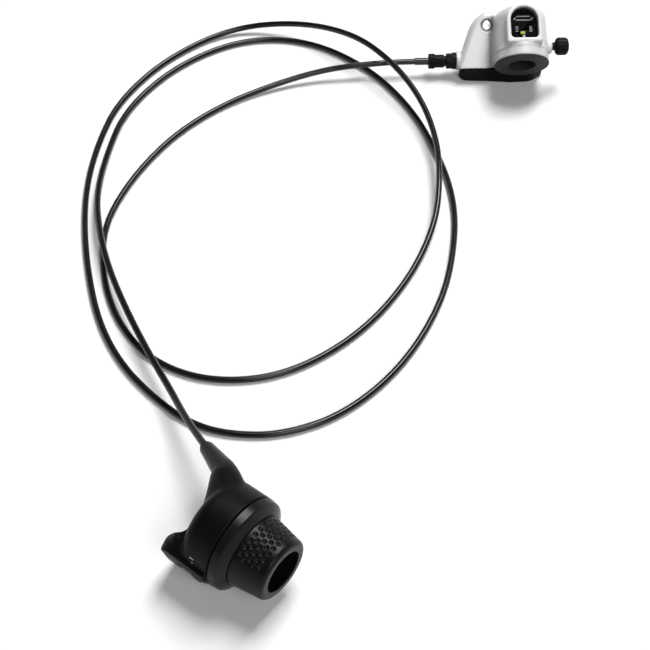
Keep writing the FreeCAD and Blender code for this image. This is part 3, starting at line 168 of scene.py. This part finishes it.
class Paint:
    """The nodes of a material, or of the world."""

    def __init__(self, owner, output="ShaderNodeOutputMaterial"):
        self.owner = owner
        self.owner.use_nodes = True
        self.tree = owner.node_tree
        self.tree.nodes.clear()
        self.output = self.tree.nodes.new(output)

    def node(self, kind, settings=None, inputs=None, output=0):
        made = self.tree.nodes.new(kind)
        for key, value in (settings or {}).items():
            setattr(made, key, value)
        for key, value in (inputs or {}).items():
            if isinstance(value, Value):
                self.tree.links.new(value.socket, made.inputs[key])
            else:
                made.inputs[key].default_value = value
        return Value(self, made.outputs[output])

    def place(self):
        return self.node("ShaderNodeTexCoord", output="Object")

    def noise(self, size_mm, detail=3.0):
        inputs = {"Vector": self.place(), "Scale": 1000.0 / size_mm, "Detail": detail}
        return self.node("ShaderNodeTexNoise", None, inputs)

    def between(self, share, low, high):
        """A tone that goes from low to high as share goes from 0 to 1; its colour sockets are 6, 7 and 2."""
        return self.node("ShaderNodeMix", {"data_type": "RGBA"}, {0: share, 6: low, 7: high}, 2)

    def ramp(self, value, start, end, low, high):
        """A number that goes from low to high as value goes from start to end."""
        inputs = {"Value": value, "From Min": start, "From Max": end, "To Min": low, "To Max": high}
        return self.node("ShaderNodeMapRange", None, inputs)

    def mixed(self, share, first, second):
        """One shader that gives way to another as share goes from 0 to 1."""
        return self.node("ShaderNodeMixShader", None, {0: share, 1: first, 2: second})

    def bump(self, height, strength, distance_mm):
        inputs = {"Height": height, "Strength": strength, "Distance": distance_mm * MM}
        return self.node("ShaderNodeBump", None, inputs)

    def surface(self, shader):
        self.tree.links.new(shader.socket, self.output.inputs["Surface"])

    def finish(self, **inputs):
        spaced = {key.replace("_", " "): value for key, value in inputs.items()}
        self.surface(self.node("ShaderNodeBsdfPrincipled", None, spaced))
        return self.owner


def tone(red, green, blue):
    return (red, green, blue, 1.0)


def scaled(colour, factor):
    return tone(*[factor * part for part in colour])


def moulded_plastic(name, colour, gloss, shine=0.5, grain_mm=0.35, grain=0.12):
    """Moulded plastic with a fine grain, slightly uneven in gloss."""
    paint = Paint(bpy.data.materials.new(name))
    patches = paint.noise(9.0)
    pores = paint.noise(grain_mm, 2.0)
    base = paint.between(patches, scaled(colour, 0.85), scaled(colour, 1.15))
    return paint.finish(Base_Color=base, Roughness=gloss - 0.05 + 0.1 * patches, Specular_IOR_Level=shine,
                        Normal=paint.bump(pores, grain, 0.03))


def soft_rubber(name, colour):
    """Dark rubber with a fine skin and a dull shine."""
    paint = Paint(bpy.data.materials.new(name))
    patches = paint.noise(6.0)
    pores = paint.noise(0.22, 2.0)
    base = paint.between(patches, scaled(colour, 0.8), scaled(colour, 1.2))
    return paint.finish(Base_Color=base, Roughness=0.27 + 0.12 * patches, Specular_IOR_Level=0.13,
                        Normal=paint.bump(pores, 0.16, 0.04))


def silver_paint(name, colour):
    """Silver lacquer: fine flakes under a clear coat."""
    paint = Paint(bpy.data.materials.new(name))
    flakes = paint.noise(0.18, 1.0)
    patches = paint.noise(12.0)
    base = paint.between(flakes, scaled(colour, 0.93), scaled(colour, 1.05))
    return paint.finish(Base_Color=base, Metallic=0.12, Roughness=0.36 + 0.06 * patches, Coat_Weight=0.1,
                        Coat_Roughness=0.15, Normal=paint.bump(flakes, 0.05, 0.02))


def plated_metal(name, colour, gloss):
    """Plated metal with fine turning marks."""
    paint = Paint(bpy.data.materials.new(name))
    marks = paint.noise(0.4, 4.0)
    return paint.finish(Base_Color=tone(*colour), Metallic=1.0, Roughness=gloss - 0.06 + 0.12 * marks,
                        Normal=paint.bump(marks, 0.06, 0.02))


def clear_plastic(name):
    """Clear window: see-through, with a mirror shine that grows at grazing angles."""
    paint = Paint(bpy.data.materials.new(name))
    smears = paint.noise(5.0)
    shine = 0.3 * paint.node("ShaderNodeFresnel", None, {"IOR": 1.45})
    through = paint.node("ShaderNodeBsdfTransparent", None, {"Color": tone(0.92, 0.93, 0.94)})
    mirror = paint.node("ShaderNodeBsdfGlossy", None, {"Roughness": 0.04 + 0.04 * smears})
    paint.surface(paint.mixed(shine, through, mirror))
    return paint.owner


def seen_directly(paint):
    """1 for what is seen, straight, in a reflection or through a window, and 0 for what only lights."""
    straight = paint.node("ShaderNodeLightPath", output="Is Camera Ray")
    mirrored = paint.node("ShaderNodeLightPath", output="Is Glossy Ray")
    through = paint.node("ShaderNodeLightPath", output="Is Transmission Ray")
    return straight + mirrored + through > 0.5


def floor_paint():
    """White table that keeps the shadows, throws little light back up and glows far out."""
    paint = Paint(bpy.data.materials.new("studio_floor"))
    dull = paint.node("ShaderNodeBsdfDiffuse", None, {"Color": tone(0.26, 0.26, 0.26)})
    white = paint.node("ShaderNodeBsdfDiffuse", None, {"Color": tone(0.94, 0.94, 0.94)})
    glow = paint.node("ShaderNodeEmission", None, {"Color": tone(1, 1, 1), "Strength": 1.0})
    away = paint.node("ShaderNodeVectorMath", {"operation": "LENGTH"}, {0: paint.place()}, "Value")
    lit = paint.mixed(paint.ramp(away, 0.45, 1.0, 0.06, 1.0), white, glow)
    paint.surface(paint.mixed(seen_directly(paint), dull, lit))
    return paint.owner


# Finishes
housing_black = moulded_plastic("satin_black", (0.004, 0.004, 0.0045), 0.4, 0.08)
nozzle_black = moulded_plastic("nozzle_charcoal", (0.006, 0.006, 0.007), 0.2, 0.14)
collar_grey = moulded_plastic("collar_charcoal", (0.007, 0.0072, 0.0085), 0.3, 0.15)
grip_black = soft_rubber("grip_rubber", (0.005, 0.0052, 0.0062))
base_black = moulded_plastic("base_black", (0.004, 0.004, 0.004), 0.45, 0.09)
socket_grey = moulded_plastic("socket_grey", (0.035, 0.033, 0.03), 0.55, 0.2)
inner_black = moulded_plastic("inner_black", (0.004, 0.004, 0.004), 0.5, 0.1)
inner_grey = moulded_plastic("inner_resin", (0.1, 0.1, 0.11), 0.5)
dial_black = moulded_plastic("dial_black", (0.004, 0.004, 0.004), 0.5, 0.05)
pointer_red = moulded_plastic("pointer_red", (0.7, 0.08, 0.04), 0.35)
index_yellow = moulded_plastic("index_yellow", (0.75, 0.78, 0.1), 0.4)
print_white = moulded_plastic("print_white", (0.88, 0.88, 0.86), 0.5)
# Light grey for the printed scale ticks and for the bars painted as highlights on the plate's steps
grey_print_and_highlight = moulded_plastic("grey_print_and_highlight", (0.55, 0.55, 0.55), 0.45)
casing_black = moulded_plastic("casing_skin", (0.005, 0.005, 0.0055), 0.22, 0.4, 0.6, 0.04)
silver = silver_paint("silver_paint", (0.74, 0.75, 0.76))
steel = plated_metal("plated_steel", (0.56, 0.56, 0.57), 0.3)
black_metal = plated_metal("black_plated", (0.03, 0.03, 0.032), 0.34)
clear = clear_plastic("clear_plastic")

FINISH_OF = {
    "shifter_housing": housing_black, "outlet_nozzle": nozzle_black, "casing_ferrule": black_metal,
    "clamp_bolt": steel, "clamp_nut": steel, "indicator_window": clear, "indicator_dial": dial_black,
    "indicator_pointer": pointer_red, "cable_drum": inner_grey, "wire_nipple": steel, "shift_wire": steel,
    "detent_spring": steel, "retaining_ring": inner_grey, "grip_core": inner_black,
    "grip_collar": collar_grey, "grip_rubber": grip_black, "bell_cover": silver, "bell_base": base_black,
    "cover_screw": steel, "base_screws": steel, "axle_socket": socket_grey, "window_lens": clear,
    "index_plate": dial_black, "bell_lever": inner_black, "lever_index": index_yellow, "pivot_pin": steel,
    "return_spring": steel, "anchor_washer": steel, "anchor_bolt": steel, "hub_wire": steel,
    "barrel_adjuster": base_black, "lock_nut": base_black, "adjuster_sleeve": casing_black,
    "fixing_screw": base_black, "fixing_knob": base_black,
}
for name, finish in FINISH_OF.items():
    nodes[name].data.materials.clear()
    nodes[name].data.materials.append(finish)


def cable_casing():
    """Outer casing as one smooth line through the route."""
    turn = Matrix.Rotation(math.radians(BELL_TURN_DEG), 3, "Z")
    lead = BELL_PLACE + turn @ SLEEVE_LEAD
    end = BELL_PLACE + turn @ SLEEVE_SEAT
    seat = NOZZLE_TIP - NOZZLE_AXIS * CASING_SEAT
    first = NOZZLE_TIP + NOZZLE_AXIS * CASING_LEAD
    points = [seat, first] + [Vector(point) for point in CASING_ROUTE] + [lead, end]
    line = bpy.data.curves.new("casing", "CURVE")
    line.dimensions = "3D"
    line.bevel_depth = CASING_R * MM
    line.bevel_resolution = 6
    line.resolution_u = 10
    line.use_fill_caps = True
    spline = line.splines.new("NURBS")
    spline.points.add(len(points) - 1)
    for knot, point in zip(spline.points, points):
        knot.co = (*(point * MM), 1.0)
    spline.order_u = 3
    spline.use_endpoint_u = True
    casing = bpy.data.objects.new("casing", line)
    bpy.context.scene.collection.objects.link(casing)
    line.materials.append(casing_black)
    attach(casing, "frame")
    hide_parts("cable_casing")


def copy_of(node, name):
    """A merged copy of a solid's mesh, to be shaped further."""
    bpy.ops.object.select_all(action="DESELECT")
    piece = bpy.data.objects.new(name, nodes[node].data.copy())
    bpy.context.scene.collection.objects.link(piece)
    bpy.context.view_layer.objects.active = piece
    piece.select_set(True)
    bpy.ops.object.mode_set(mode="EDIT")
    bpy.ops.mesh.select_all(action="SELECT")
    bpy.ops.mesh.remove_doubles(threshold=0.001 * MM)
    bpy.ops.object.mode_set(mode="OBJECT")
    return piece


def modified(piece, kind, **settings):
    """Adds a modifier, sets it and applies it."""
    bpy.context.view_layer.objects.active = piece
    modifier = piece.modifiers.new(kind.lower(), kind)
    for key, value in settings.items():
        setattr(modifier, key, value)
    bpy.ops.object.modifier_apply(modifier=modifier.name)


def soften(piece, zones, steps):
    """Smooths the surface inside round zones, given in millimetres, less towards their edges."""
    group = piece.vertex_groups.new(name="soft_zone")
    for vertex in piece.data.vertices:
        weight = 0.0
        for centre, radius in zones:
            share = (vertex.co / MM - Vector(centre)).length / radius
            weight = max(weight, min(1.0, 2.0 * (1.0 - share)))
        if weight > 0:
            group.add([vertex.index], weight, "REPLACE")
    modified(piece, "SMOOTH", factor=0.5, iterations=steps, vertex_group="soft_zone")
    piece.vertex_groups.clear()


def stands_for(piece, node, body, finish):
    """Puts a finished piece in a solid's place."""
    piece.data.materials.clear()
    piece.data.materials.append(finish)
    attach(piece, body)
    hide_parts(node)


def web(piece, balls):
    """Joins the hull of some balls to a piece; their centres and radii are in millimetres."""
    bpy.ops.object.select_all(action="DESELECT")
    shells = []
    for centre, radius in balls:
        bpy.ops.mesh.primitive_uv_sphere_add(segments=40, ring_count=20, radius=radius * MM,
                                             location=Vector(centre) * MM)
        shells.append(bpy.context.object)
    for shell in shells:
        shell.select_set(True)
    bpy.ops.object.join()
    bpy.ops.object.mode_set(mode="EDIT")
    bpy.ops.mesh.select_all(action="SELECT")
    bpy.ops.mesh.convex_hull()
    bpy.ops.object.mode_set(mode="OBJECT")
    piece.select_set(True)
    bpy.context.view_layer.objects.active = piece
    bpy.ops.object.join()


def housing_skin():
    """Moulded housing whose horn and pod flow out of the barrel."""
    skin = copy_of("shifter_housing", "housing_skin")
    web(skin, HORN_WEB)
    web(skin, POD_WEB)
    modified(skin, "REMESH", mode="VOXEL", voxel_size=HOUSING_VOXEL * MM)
    soften(skin, HORN_BLENDS, HORN_STEPS)
    soften(skin, POD_BLENDS, POD_STEPS)
    bpy.ops.object.shade_smooth()
    stands_for(skin, "shifter_housing", "frame", housing_black)


def grip_sleeve():
    """Rubber sleeve with soft rims round its dimples."""
    sleeve = copy_of("grip_rubber", "grip_sleeve")
    modified(sleeve, "REMESH", mode="VOXEL", voxel_size=SLEEVE_VOXEL * MM)
    modified(sleeve, "SMOOTH", factor=0.5, iterations=SLEEVE_STEPS)
    bpy.ops.object.shade_smooth()
    stands_for(sleeve, "grip_rubber", "grip", grip_black)


def cover_skin():
    """Moulded cover whose pod and boss flow together."""
    skin = copy_of("bell_cover", "cover_skin")
    modified(skin, "REMESH", mode="VOXEL", voxel_size=COVER_VOXEL * MM)
    modified(skin, "SMOOTH", factor=0.5, iterations=COVER_STEPS)
    soften(skin, COVER_BLENDS, COVER_BLEND_STEPS)
    bpy.ops.object.shade_smooth()
    stands_for(skin, "bell_cover", "frame", silver)


def winding_wire():
    """Smooth-shaded steel copy of the shift wire, baked in place."""
    wire = copy_of("shift_wire", "winding_wire")
    bpy.ops.object.shade_smooth()
    wire.data.materials.clear()
    wire.data.materials.append(steel)
    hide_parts("shift_wire")
    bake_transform(wire)


def thin_mark(name, sides, size, place, finish):
    """Thin mark, used for print and for painted highlights: a flat outline of some sides and size in
    millimetres, raised and put in place.
    """
    bpy.ops.object.select_all(action="DESELECT")
    bpy.ops.mesh.primitive_circle_add(vertices=sides, radius=0.5 * MM, fill_type="NGON")
    mark = bpy.context.object
    mark.name = name
    bpy.ops.object.mode_set(mode="EDIT")
    bpy.ops.mesh.select_all(action="SELECT")
    if sides == 4:
        bpy.ops.transform.rotate(value=math.pi / 4, orient_axis="Z", center_override=(0, 0, 0))
        bpy.ops.transform.resize(value=(math.sqrt(2), math.sqrt(2), 1))
    bpy.ops.transform.resize(value=(size[0], size[1], 1))
    bpy.ops.mesh.extrude_region_move(TRANSFORM_OT_translate={"value": (0, 0, MARK_HEIGHT * MM)})
    bpy.ops.mesh.select_all(action="SELECT")
    bpy.ops.mesh.normals_make_consistent(inside=False)
    bpy.ops.object.mode_set(mode="OBJECT")
    mark.data.transform(place)
    mark.data.materials.append(finish)
    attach(mark, "frame")


def in_window(x, y, turn_deg=0.0):
    """Place on the plate under the bell crank's window, in the frame tilted with its axle."""
    lift = Matrix.Translation((0, 0, BOSS_HEIGHT * MM))
    tilt = Matrix.Rotation(math.radians(BOSS_TILT_DEG), 4, "X")
    stand = Matrix.Translation(BELL_PLACE * MM) @ Matrix.Rotation(math.radians(BELL_TURN_DEG), 4, "Z")
    spot = Matrix.Translation(Vector((x, y, PLATE_TOP)) * MM)
    return stand @ lift @ tilt @ spot @ Matrix.Rotation(math.radians(turn_deg), 4, "Z")


def on_barrel(x, angle_deg, radius):
    """Place on a round of the shifter at an angle from +Y towards +Z, with X kept along the handlebar."""
    turn = Matrix.Rotation(math.radians(angle_deg - 90.0), 4, "X")
    return turn @ Matrix.Translation(Vector((x, 0, radius)) * MM)


def window_marks():
    """Painted highlights along the plate's steps, printed scale ticks and the fixed pointer under the bell
    crank's window.
    """
    thin_mark("fixed_pointer", 3, FIXED_POINTER_SIZE, in_window(0, FIXED_POINTER_Y), print_white)
    # Light-grey bars painted as the highlights on the edges of the plate's steps
    for i, (y, length) in enumerate(STEP_HIGHLIGHT_Y_AND_LENGTH):
        thin_mark(f"step_highlight_{i}", 4, (length, LINE_WIDTH), in_window(0, y), grey_print_and_highlight)
    for side in (-1, 1):
        x, y = CORNER_TICK_PLACE
        corner = in_window(side * x, y, CORNER_TICK_DEG)
        thin_mark(f"corner_tick_{side + 1}", 4, (CORNER_TICK_LENGTH, LINE_WIDTH), corner, print_white)
        x, y = SCALE_TICK_PLACE
        for i in range(SCALE_TICK_COUNT):
            step = in_window(side * x, y + SCALE_TICK_STEP * i)
            size = (SCALE_TICK_LENGTH, LINE_WIDTH)
            thin_mark(f"scale_tick_{side + 1}_{i}", 4, size, step, grey_print_and_highlight)


def shifter_marks():
    """Printed dash and dot beside the gear window."""
    radius = BARREL_R - PRINT_SINK
    dash = on_barrel(INDEX_DASH_X, INDEX_DASH_DEG, radius)
    thin_mark("index_dash", 4, INDEX_DASH_SIZE, dash, print_white)
    dot = on_barrel(INDEX_DOT_X, INDEX_DOT_DEG, radius)
    thin_mark("index_dot", 12, INDEX_DOT_SIZE, dot, print_white)


def dial_figures():
    """Gear numbers on the dial behind the window."""
    for i in range(GEAR_COUNT):
        bpy.ops.object.select_all(action="DESELECT")
        bpy.ops.object.text_add()
        figure = bpy.context.object
        figure.data.body = str(i + 1)
        figure.data.size = FIGURE_SIZE * MM
        figure.data.align_x = "CENTER"
        figure.data.align_y = "CENTER"
        figure.data.extrude = FIGURE_DEPTH * MM
        bpy.ops.object.convert(target="MESH")
        figure = bpy.context.object
        figure.name = f"gear_figure_{i + 1}"
        angle = POINTER_DEG + (i - 1) * FIGURE_STEP_DEG
        turn = Matrix.Rotation(math.radians(-90.0), 4, "Z")
        figure.data.transform(on_barrel(FIGURE_X, angle, DIAL_R + FIGURE_DEPTH) @ turn)
        figure.data.materials.clear()
        figure.data.materials.append(print_white)
        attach(figure, "frame")


bpy.ops.object.select_all(action="DESELECT")
cable_casing()
housing_skin()
grip_sleeve()
cover_skin()
winding_wire()
window_marks()
shifter_marks()
dial_figures()


# Studio
def studio_floor():
    bpy.ops.mesh.primitive_plane_add(size=FLOOR_SIZE, location=(0, 0, TABLE_Z * MM - FLOOR_DROP))
    floor = bpy.context.object
    floor.name = "studio_floor"
    floor.data.materials.append(floor_paint())


def softbox(name, place, size, power):
    """Rectangular lamp that faces the middle of the studio; its power is in watts."""
    light = bpy.data.lights.new(name, "AREA")
    light.shape = "RECTANGLE"
    light.size = size[0]
    light.size_y = size[1]
    light.energy = power
    lamp = bpy.data.objects.new(name, light)
    lamp.location = place
    aim = Vector(STUDIO_MIDDLE) - Vector(place)
    lamp.rotation_euler = aim.to_track_quat("-Z", "Y").to_euler()
    bpy.context.scene.collection.objects.link(lamp)


def studio_world(level):
    """White walls under a dim ceiling; as light, all of it is at a low level."""
    world = bpy.data.worlds.new("studio")
    bpy.context.scene.world = world
    room = Paint(world, "ShaderNodeOutputWorld")
    direction = room.node("ShaderNodeTexCoord", output="Generated")
    height = room.node("ShaderNodeSeparateXYZ", None, {0: direction}, "Z")
    wall = room.ramp(height, 0.12, 0.4, 1.0, 0.0)
    strength = level + (1.0 - level) * seen_directly(room) * wall
    room.surface(room.node("ShaderNodeBackground", None, {"Color": tone(1, 1, 1), "Strength": strength}))


def camera():
    lens = bpy.data.cameras.new("camera")
    lens.sensor_fit = "HORIZONTAL"
    lens.sensor_width = SENSOR_WIDTH
    lens.lens = FOCAL_PX / PICTURE_PX * SENSOR_WIDTH
    lens.clip_start = 0.01
    lens.clip_end = 100
    view = bpy.data.objects.new("camera", lens)
    view.location = CAMERA_PLACE * MM
    view.rotation_euler = (CAMERA_AIM - CAMERA_PLACE).to_track_quat("-Z", "Y").to_euler()
    bpy.context.scene.collection.objects.link(view)
    bpy.context.scene.camera = view


studio_floor()
softbox("key_light", (-0.3, 1.55, 2.95), (1.1, 1.8), 114)
softbox("front_light", (1.9, -0.8, 2.1), (1.3, 1.3), 29)
softbox("side_light", (-2.7, 0.6, 1.25), (0.6, 0.6), 1.5)
studio_world(ROOM_LIGHT)
camera()
bpy.context.scene.view_settings.view_transform = "Standard"
